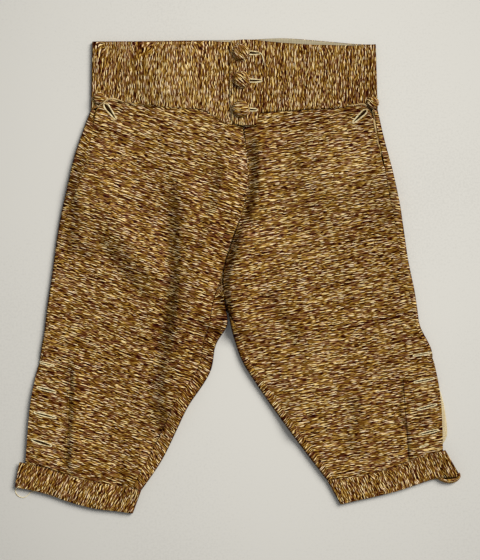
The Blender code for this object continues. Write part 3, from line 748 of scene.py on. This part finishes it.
for placket in PLACKETS:
    mesh = bmesh.new()
    mesh.from_mesh(placket.front.data)
    under = [face for face in mesh.faces if face.normal.z < 0.5]   # only the upper side is kept
    bmesh.ops.delete(mesh, geom=under, context="FACES")
    top, bottom = Vector((*placket.top, 0)) * MM, Vector((*placket.bottom, 0)) * MM
    inward = (bottom - top).cross(Vector((0, 0, 1))).normalized()
    if inward.x * placket.outer > 0:
        inward.negate()
    for way in (inward, Vector((0, 1, 0))):
        bmesh.ops.bisect_plane(
            mesh, geom=mesh.verts[:] + mesh.edges[:] + mesh.faces[:], plane_co=top,
            plane_no=way, clear_outer=True, dist=0.01 * MM,
        )
    for vert in mesh.verts:
        share = min(1.0, (top.y - vert.co.y) / (PLACKET_RISE * MM))
        vert.co.z += (PLACKET_LIFT * share * (2 - share) - PLACKET_ROOT * (1 - share) ** 2) * MM
    bmesh.ops.recalc_face_normals(mesh, faces=mesh.faces)
    bmesh.ops.solidify(mesh, geom=mesh.faces[:], thickness=PLACKET_SHEET * MM)
    CLOTH.append(new_piece(mesh, placket.name, "silk", SILK))

# ---- The covered buttons -------------------------------------------------------------------
# Flat wooden moulds covered with the breeches' own silk, gathered and sewn behind. Three fasten
# the waistband, and one lies at each pocket corner.

# Half of a cover's section: shares of its radius and of its height, from the middle of the foot.
BUTTON_SHAPE = [(0.0, 0.0), (1.14, 0.0), (1.17, 0.08), (1.1, 0.18), (0.92, 0.24), (0.96, 0.34),
                (1.0, 0.48), (0.97, 0.64), (0.87, 0.8), (0.68, 0.92), (0.4, 0.98), (0.0, 1.0)]
BUTTON_SHADOW_FOOT = 0.24         # under this share of the height is the cover's gathered foot, in painted shadow
BUTTON_STANDS = 0.5        # how far the cover stands above the wooden mould's place
BUTTON_SIDES = 60
BUTTON_GATHERS = 15        # gathers round the foot
GATHER_DEPTH = 0.03        # and how deep they are there, as a share of the radius
COVER_UNEVEN = (0.25, 4.0)     # height and spacing of the bumps in the cover
COVER_STRETCH = 0.95       # under 1, the floats are drawn wider over the mould
COVER_CLOSES = 0.5         # and they close up by this much more towards the foot
STREAKS_ON_BUTTONS = {     # the floats' angle on each, in degrees
    "front_button_1": -50, "front_button_2": -42, "front_button_3": 4,
    "right_pocket_button": -8, "left_pocket_button": -38,
}


def painted_shadow_finish():
    """Painted shadow and shade: dark brown, uneven, down the buttonholes' slits, at the feet of
    the button covers, round the front buttons and in the left knee band's opening.
    """
    made = new_material("painted_shadow_finish")
    place = add_node(made, "TexCoord")
    fade = add_node(made, "TexNoise", {"Vector": place.outputs["Object"], "Scale": 1 / (2 * MM)})
    run = add_node(made, "ValToRGB", {"Fac": fade.outputs[0]})
    run.color_ramp.elements[0].color = linear("#150b04")
    run.color_ramp.elements[1].color = linear("#3a2713")
    surface = add_node(made, "BsdfPrincipled", {
        "Base Color": run.outputs[0], "Roughness": 0.95, "Specular IOR Level": 0.0,
    })
    finish_material(made, surface)
    return made


# Painted shadow, for slits, button feet, rings round the front buttons and the knee band's
# opening.
PAINTED_SHADOW = painted_shadow_finish()

for name, streaks in STREAKS_ON_BUTTONS.items():
    low, high = (Vector(corner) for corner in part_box(name))
    high.z += BUTTON_STANDS * MM
    tall = high.z - low.z
    middle, radius = (low + high) / 2, (high - low).xy.length / 2 / math.sqrt(2)
    mesh = bmesh.new()
    outline = [mesh.verts.new((r * radius, 0, low.z + z * tall)) for r, z in BUTTON_SHAPE]
    for start, end in zip(outline, outline[1:]):
        mesh.edges.new((start, end))
    bmesh.ops.spin(
        mesh, geom=mesh.verts[:] + mesh.edges[:], cent=(0, 0, 0), axis=(0, 0, 1),
        angle=math.tau, steps=BUTTON_SIDES, use_merge=True,
    )
    bmesh.ops.remove_doubles(mesh, verts=mesh.verts, dist=0.01 * MM)
    bmesh.ops.recalc_face_normals(mesh, faces=mesh.faces)
    weave = mesh.loops.layers.uv.new(WEAVE)
    angle = math.radians(streaks)
    for vert in mesh.verts:
        edge = vert.co.xy.length / radius
        turn = math.atan2(vert.co.y, vert.co.x)
        under = 1 - (vert.co.z - low.z) / tall
        vert.co.xy *= 1 + GATHER_DEPTH * under * math.sin(BUTTON_GATHERS * turn) * edge
        x, y = vert.co.xy / (COVER_UNEVEN[1] * MM)
        vert.co.z += COVER_UNEVEN[0] * MM * noise.noise((x, y, streaks))
    for face in mesh.faces:
        for loop in face.loops:
            under = 1 - (loop.vert.co.z - low.z) / tall
            x, y = COVER_STRETCH * loop.vert.co.xy * (1 + COVER_CLOSES * under)
            loop[weave].uv = (
                x * math.cos(angle) + y * math.sin(angle) + streaks * MM,
                y * math.cos(angle) - x * math.sin(angle) + streaks * MM,
            )
        # The foot's faces take the second finish: painted shadow round the foot of the cover.
        face.material_index = int((face.calc_center_median().z - low.z) / tall < BUTTON_SHADOW_FOOT)
    bmesh.ops.translate(mesh, verts=mesh.verts, vec=(middle.x, middle.y, 0))
    # The cover takes the paler copy of the silk, with its painted sheen.
    cover = new_piece(mesh, name + "_cover", "covered_buttons", PALER_SHEEN_SILK, name)
    cover.data.materials.append(PAINTED_SHADOW)

# ---- The worked buttonholes ----------------------------------------------------------------
# Slits oversewn all round with cream silk twist, three in the waistband, one in each pocket
# corner and a row at each knee.

TREES = [cloth_tree(piece) for piece in CLOTH]
HIGH = 60.0                # height that the cloth's top is looked for from
STITCH = (0.75, 0.8)       # width and height of a stitch of twist
STITCH_STEP = 0.6          # they lie side by side at this spacing
STITCH_LIFT = 0.15         # and their middles this far over the cloth
STITCH_ASKEW = 9           # each is this much out of true at most, in degrees
END_FAN = (-50, 0, 50)     # the directions of the stitches round an end
SLIT_BEADS = 10            # the dark slit is laid in this many overlapping lengths
SLIT_SIZE = (2.2, 1.3, 0.7)    # each as a share of its length and its gap, and its height
LEAST_SLIT = 0.7           # a gap narrower than this shows no slit


def cloth_top(x, y):
    """The height of the topmost cloth at a place, all in millimetres."""
    hits = [tree.ray_cast(Vector((x, y, HIGH)) * MM, Vector((0, 0, -1)))[0] for tree in TREES]
    return max([hit.z / MM for hit in hits if hit] or [0.0])


def silk_twist():
    """Cream silk buttonhole twist: softly glossy, unevenly faded."""
    made = new_material("cream_silk_twist")
    place = add_node(made, "TexCoord")
    fade = add_node(made, "TexNoise", {
        "Vector": place.outputs["Object"], "Scale": 1 / (4 * MM), "Detail": 2.0,
    })
    run = add_node(made, "ValToRGB", {"Fac": fade.outputs[0]})
    run.color_ramp.elements[0].position = 0.3
    run.color_ramp.elements[0].color = linear("#c3a568")
    run.color_ramp.elements[1].position = 0.6
    run.color_ramp.elements[1].color = linear("#faecc0")
    surface = add_node(made, "BsdfPrincipled", {
        "Base Color": run.outputs[0], "Roughness": 0.5, "Specular IOR Level": 0.2,
    })
    finish_material(made, surface)
    return made


CREAM_TWIST = silk_twist()

bead_mesh = bmesh.new()
bmesh.ops.create_uvsphere(bead_mesh, u_segments=8, v_segments=5, radius=0.5)
BEAD = mesh_data(bead_mesh, "bead")


def add_bead(mesh, x, y, turn, size, lift):
    """A small rounded bead, laid on the cloth and turned, in degrees."""
    place = Vector((x, y, cloth_top(x, y) + lift)) * MM
    bead = BEAD.copy()
    bead.transform(
        Matrix.Translation(place) @ Matrix.Rotation(math.radians(turn), 4, "Z")
        @ Matrix.Diagonal((*[s * MM for s in size], 1))
    )
    mesh.from_mesh(bead)
    bpy.data.meshes.remove(bead)


# A hole from its start to its end: how wide its slit opens, how long the stitches round it are,
# and how much of the opening is near its start.
Hole = namedtuple("Hole", "start end opening rim gape")
chance = random.Random(7)


def gape_at(hole, share):
    """How open a slit is along its length: evenly, or most of all near its start."""
    even = math.sin(math.pi * share) ** 0.6
    return even + hole.gape * (min(1.0, 5 * share) ** 0.6 * (1 - share) ** 0.8 - even)


def work_holes(name, holes):
    """Worked buttonholes: a dark slit, painted shade over the layers beneath, with stitches side
    by side all round it.
    """
    stitches, slits = bmesh.new(), bmesh.new()
    for hole in holes:
        start, end = Vector(hole.start), Vector(hole.end)
        along = (end - start).normalized()
        across = Vector((-along.y, along.x))
        length = (end - start).length
        heading = math.degrees(math.atan2(along.y, along.x))
        size = (hole.rim, *STITCH)
        count = int(length / STITCH_STEP)
        for side in (-1, 1):
            for i in range(count + 1):
                share = i / count
                gap = hole.opening / 2 * gape_at(hole, share) + hole.rim / 2
                spot = start + along * length * share + across * gap * side
                askew = chance.uniform(-STITCH_ASKEW, STITCH_ASKEW)
                add_bead(stitches, *spot, heading + 90 + askew, size, STITCH_LIFT)
        for tip, turn in ((start, 180), (end, 0)):
            for fan in END_FAN:
                way = math.radians(heading + turn + fan)
                spot = tip + Vector((math.cos(way), math.sin(way))) * hole.rim / 2
                add_bead(stitches, *spot, heading + turn + fan, size, STITCH_LIFT)
        # The slit is painted shade, dark over the layers beneath.
        for i in range(SLIT_BEADS):
            share = (i + 0.5) / SLIT_BEADS
            wide = hole.opening * gape_at(hole, share)
            if wide > LEAST_SLIT:
                long, broad, tall = SLIT_SIZE
                dark = (long * length / SLIT_BEADS, wide * broad, tall)
                add_bead(slits, *start.lerp(end, share), heading, dark, 0.0)
    new_piece(stitches, name, "silk", CREAM_TWIST)
    if slits.verts:
        new_piece(slits, name + "_slits", "silk", PAINTED_SHADOW)
    else:
        slits.free()


work_holes("front_buttonholes", [
    Hole((12.6, 326.4), (30.6, 325.2), 3.6, 2.2, 0.6),
    Hole((13.4, 285.5), (33.6, 285.0), 3.2, 2.1, 0.7),
    Hole((14.0, 243.1), (27.4, 242.4), 2.6, 1.9, 0.5),
])
work_holes("pocket_buttonholes", [
    Hole((-195.8, 251.0), (-180.0, 229.3), 5.6, 2.6, 1),
    Hole((187.2, 242.0), (168.2, 224.2), 5.0, 2.6, 1),
])
work_holes("right_knee_buttonholes", [
    Hole((-291.4, -127.2), (-270.8, -132.3), 0.9, 1.8, 0),
    Hole((-295.0, -163.9), (-267.8, -170.5), 1.9, 1.9, 0),
    Hole((-298.7, -200.7), (-267.8, -208.7), 1.8, 1.9, 0),
    Hole((-302.4, -240.3), (-274.4, -249.2), 3.0, 1.9, 0),
])
work_holes("left_knee_buttonholes", [
    Hole((257.0, -117.6), (281.9, -113.2), 0.9, 1.8, 0),
    Hole((257.7, -156.6), (286.4, -150.7), 1.5, 1.8, 0),
    Hole((262.8, -196.2), (290.0, -188.9), 1.6, 1.8, 0),
    Hole((265.0, -233.0), (292.2, -226.4), 1.6, 1.8, 0),
    Hole((266.0, -251.8), (277.5, -247.7), 0.4, 1.6, 0),
])

# ---- Edges, tacks and loose ends -----------------------------------------------------------
# The pocket mouths' rolled edges, painted shadow rings round the front buttons, the left knee
# band's turned end with painted shade in its opening, the tack at the bottom of the fly, and two
# loose ends of thread.


def sweep(name, path, radius, slot, finish, flat=0.7, lift=0.3, sides=8, taper=0.0, level=None):
    """A roll or thread along a path that lies on the cloth, or at a level, closed at both ends.
    Flat is its height as a share of its width, and lift raises it by a share of its radius."""
    points, shares = read_path(path)
    length = np.linalg.norm(np.diff(points, axis=0), axis=1).sum() * MM
    heights = np.array([cloth_top(*p) if level is None else level for p in points])
    heights = heights + radius * lift
    mesh = bmesh.new()
    run, around = mesh.verts.layers.float.new("run"), mesh.verts.layers.float.new("around")
    ring = bmesh.ops.create_circle(mesh, segments=sides, radius=1.0)["verts"]
    for i, vert in enumerate(ring):
        vert[around] = i / sides * math.tau * radius * MM
    last = Matrix.Identity(4)
    for i, (point, share) in enumerate(zip(points, shares)):
        ahead = points[min(i + 1, len(points) - 1)] - points[max(i - 1, 0)]
        forward = Vector((*ahead, 0)).normalized()
        side = forward.cross(Vector((0, 0, 1)))
        size = radius * (1 - taper * (2 * share - 1) ** 2)
        pose = Matrix.Translation(Vector((*point, heights[i])) * MM) @ Matrix((
            (side.x * size * MM, 0, forward.x, 0), (side.y * size * MM, 0, forward.y, 0),
            (0, size * flat * MM, 0, 0), (0, 0, 0, 1),
        ))
        if i:
            edges = [e for v in ring for e in v.link_edges if e.other_vert(v) in ring]
            ring = [
                g for g in bmesh.ops.extrude_edge_only(mesh, edges=list(set(edges)))["geom"]
                if isinstance(g, bmesh.types.BMVert)
            ]
        bmesh.ops.transform(mesh, matrix=pose @ last.inverted(), verts=ring)
        for vert in ring:
            vert[run] = share * length
        last = pose
    bmesh.ops.holes_fill(mesh, edges=[e for e in mesh.edges if e.is_boundary], sides=0)
    bmesh.ops.recalc_face_normals(mesh, faces=mesh.faces)
    weave = mesh.loops.layers.uv.new(WEAVE)
    for face in mesh.faces:
        for loop in face.loops:
            loop[weave].uv = (loop.vert[run], loop.vert[around])
    return new_piece(mesh, name, slot, finish)


PALE_EDGE_FLOATS = (9.0, 1.1)         # their length and width
PALE_EDGE_FROM, PALE_EDGE_TO = 0.32, 0.66    # the grain's levels from the darkest to the palest


def turned_edge():
    """The silk where it is turned over at an edge, with paler floats."""
    made = new_material("pale_silk_edge")
    place = add_node(made, "UVMap", uv_map=WEAVE)
    drawn = add_node(made, "Mapping", {
        "Vector": place.outputs[0],
        "Scale": (1 / (PALE_EDGE_FLOATS[0] * MM), 1 / (PALE_EDGE_FLOATS[1] * MM), 1),
    })
    grain = add_node(made, "TexNoise", {"Vector": drawn.outputs[0], "Scale": 1.0, "Detail": 2.0})
    run = add_node(made, "ValToRGB", {"Fac": grain.outputs[0]})
    stops = run.color_ramp.elements
    stops[0].position, stops[1].position = PALE_EDGE_FROM, PALE_EDGE_TO
    stops[0].color, stops[1].color = linear("#7a5422"), linear("#e8cf98")
    surface = add_node(made, "BsdfPrincipled", {
        "Base Color": run.outputs[0], "Roughness": 0.6, "Specular IOR Level": 0.08,
    })
    finish_material(made, surface)
    return made


PALE_EDGE_SILK = turned_edge()
sweep("right_pocket_edge", [
    (-207.6, 246.2), (-201.7, 249.9), (-195.8, 254.8), (-189.9, 258.3), (-182.6, 258.6),
    (-175.2, 256.4), (-168.0, 254.2),
], 1.6, "silk", PALE_EDGE_SILK, taper=0.6, lift=0.6)
sweep("right_pocket_mouth", [
    (-170.0, 254.6), (-160.0, 252.6), (-148.8, 251.2), (-128.2, 249.0), (-106.1, 246.9),
], 1.0, "silk", SILK, taper=0.7)
sweep("left_pocket_edge", [
    (158.5, 248.4), (174.0, 250.2), (182.0, 251.2), (187.9, 248.6), (192.9, 242.4),
    (196.1, 235.2), (198.2, 226.4), (200.4, 215.0), (202.8, 202.0), (205.0, 189.0),
], 1.4, "silk", PALE_EDGE_SILK, taper=0.6, lift=0.6)

# The left outseam's allowance, turned in where front and back part under the pocket.
sweep("left_outseam_allowance", [
    (197.4, 243.0), (201.8, 220.0), (206.2, 192.0), (210.2, 170.0), (213.4, 154.0),
], 1.7, "silk", SILK, flat=0.6, level=6.6, lift=0.0)

# Painted shadow: a dark ring all round the foot of each front button.
SHADOW_RING_OUT = 1.2          # how far its middle lies outside the wooden mould
for button in ("front_button_1", "front_button_2", "front_button_3"):
    low, high = (Vector(corner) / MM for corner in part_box(button))
    middle, radius = (low + high).xy / 2, (high - low).x / 2 + SHADOW_RING_OUT
    turns = [math.radians(angle) for angle in range(0, 361, 20)]
    sweep(button + "_painted_shadow_ring", [
        (middle.x + radius * math.cos(turn), middle.y + radius * math.sin(turn)) for turn in turns
    ], 0.75, "covered_buttons", PAINTED_SHADOW, flat=0.5)

# The end of the top buttonhole's twist, and a thread from the right knee band's seam.
sweep("loose_twist", [
    (27.0, 327.8), (31.0, 326.6), (34.5, 323.0), (36.3, 317.0), (37.4, 311.0),
], 0.65, "silk", CREAM_TWIST, flat=1.0, lift=0.8)
sweep("loose_thread", [
    (-321.4, -308.6), (-327.2, -313.6), (-327.0, -319.6), (-322.6, -324.6), (-315.6, -326.2),
    (-309.6, -323.0), (-305.6, -318.4), (-300.6, -317.2), (-296.0, -315.6), (-291.0, -314.0),
], 0.45, "silk", CREAM_TWIST, flat=1.0, lift=1.0)

# The left knee band's end is turned under, and its lower edge rolls up round the opening.
sweep("left_knee_band_roll", [
    (290.5, -294.6), (297.0, -298.4), (304.0, -301.0), (312.8, -301.4), (320.0, -299.0),
    (323.6, -294.4), (322.6, -290.0),
], 3.4, "silk", SILK, flat=1.0, level=3.6, lift=0.0, sides=12, taper=0.35)
# Painted shade: a dark piece in the opening, under the rolled edge.
sweep("left_knee_band_painted_shade", [
    (295.0, -292.6), (302.0, -294.8), (310.0, -295.4), (317.0, -293.8), (320.0, -291.2),
], 2.6, "silk", PAINTED_SHADOW, flat=0.4, level=6.6, lift=0.0, taper=0.7)

# A few stitches of twist, close together, hold the bottom of the fly.
TACK_TOP = (3.2, 172.6)
TACK_LONG, TACK_BOW = 7.0, 1.2     # they run down this far, and bow out by this much
TACK_TURN = 2.4                    # how far round the bow goes, in radians
TACK_STITCHES = 9
TACK_STITCH = (1.6, *STITCH)
tack = bmesh.new()
for i in range(TACK_STITCHES):
    share = i / (TACK_STITCHES - 1)
    x, y = TACK_TOP[0] + TACK_BOW * math.sin(TACK_TURN * share), TACK_TOP[1] - TACK_LONG * share
    add_bead(tack, x, y, chance.uniform(-30, 30), TACK_STITCH, 0.0)
new_piece(tack, "fly_tack", "silk", CREAM_TWIST)

# ---- What each piece of cloth was cut to ---------------------------------------------------
# The panels as cut, without their seam allowances: the least rectangle round each and its area,
# in metres and square metres, and what it lies on.

right_placket, left_placket = CLOTH[-2:]
CUTS = [
    (right_front, (0.248, 0.570), 0.126, [right_back]),
    (left_front, (0.277, 0.552), 0.123, [left_back]),
    (right_back, (0.289, 0.590), 0.142, [board]),
    (left_back, (0.300, 0.575), 0.139, [board]),
    (right_band, (0.121, 0.462), 0.0438, [board]),
    (left_band, (0.126, 0.431), 0.0406, [board]),
    (right_knee, (0.061, 0.360), 0.0133, [board]),
    (left_knee, (0.091, 0.347), 0.0129, [board]),
    (waist_lining, (0.043, 0.403), 0.0128, [left_band, right_band]),
    (knee_facing, (0.036, 0.112), 0.0025, [board]),
    (right_placket, (0.060, 0.144), 0.0080, [right_front]),
    (left_placket, (0.053, 0.132), 0.0065, [left_front]),
]
for piece, flat, area, under in CUTS:
    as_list(under)

seen_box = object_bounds()
[[list(corner) for corner in box] for box in (cad_box, seen_box)]
